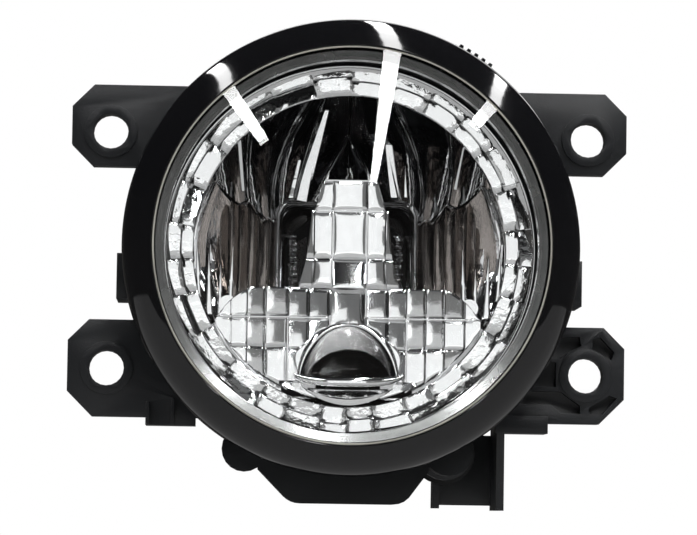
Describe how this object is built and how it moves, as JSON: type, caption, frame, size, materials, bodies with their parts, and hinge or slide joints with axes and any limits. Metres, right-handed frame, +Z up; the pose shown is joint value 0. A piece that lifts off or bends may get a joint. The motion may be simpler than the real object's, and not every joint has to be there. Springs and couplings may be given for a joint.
{
  "type": "fog light",
  "caption": "Round automotive fog light with a chrome reflector, glossy black bezel and four-eared bracket; tilts on side pivots by an aiming screw.",
  "frame": {"origin": "centre of the four ear holes, in the plane of the ears' seating pads", "axes": "-Y along the lens axis, out of the lens; +X along the wide side of the hole pattern, to the viewer's right; +Z up"},
  "size_m": [0.1116, 0.0787, 0.096],
  "materials": {
    "bracket_plastic": "satin moulded glass-filled nylon",
    "housing_plastic": "fine moulded texture",
    "bezel_gloss": "high gloss piano black",
    "lens_glass": "clear polished",
    "bulb_glass": "clear fused",
    "reflector_chrome": "vacuum metallised mirror",
    "cap_lacquer": "gloss black heat-resistant lacquer",
    "bulb_coating": "semi-gloss black dip coating",
    "rubber": "matte",
    "nylon": "black moulded nylon",
    "zinc_steel": "zinc plated",
    "terminal_tin": "stamped, lightly tinned",
    "tungsten": "drawn wire",
    "membrane": "matte felted"
  },
  "bodies": {
    "bracket": {"mounting_bracket": "bracket_plastic"},
    "aim_screw": {"aim_screw": "zinc_steel", "crown_gear": "nylon", "screw_clip": "zinc_steel"},
    "lamp": {"lamp_housing": "housing_plastic", "reflector": "reflector_chrome", "light_shield": "reflector_chrome", "shade_cap": "cap_lacquer", "lens": "lens_glass", "lens_seal": "rubber", "bezel_ring": "bezel_gloss", "aim_nut": "nylon", "vent_membrane": "membrane", "vent_cap": "rubber", "pivot_pin_left": "zinc_steel", "pivot_pin_right": "zinc_steel", "shield_rivet_left": "zinc_steel", "shield_rivet_right": "zinc_steel"},
    "bulb": {"bulb_base": "housing_plastic", "bulb_seal": "rubber", "bulb_collar": "zinc_steel", "bulb_glass": "bulb_glass", "bulb_tip_coating": "bulb_coating", "filament": "tungsten", "lead_wire_left": "tungsten", "lead_wire_right": "tungsten", "terminal_left": "terminal_tin", "terminal_right": "terminal_tin"}
  },
  "joints": [
    {"name": "lamp_tilt", "type": "hinge", "parent": "bracket", "child": "lamp", "pos_m": [0, -0.006, -0.006], "axis": [1, 0, 0], "range_deg": [-3, 3]},
    {"name": "aim_turn", "type": "hinge", "parent": "bracket", "child": "aim_screw", "pos_m": [0.02, 0, -0.0396], "axis": [0, 1, 0], "range_deg": [-320, 320]},
    {"name": "bulb_twist", "type": "hinge", "parent": "lamp", "child": "bulb", "pos_m": [0, 0.0286, -0.0037], "axis": [0, 0.866, 0.5], "range_deg": [0, 40]}
  ],
  "couplings": [
    {"joint": "aim_turn", "follows": "lamp_tilt", "ratio": -105.56}
  ]
}
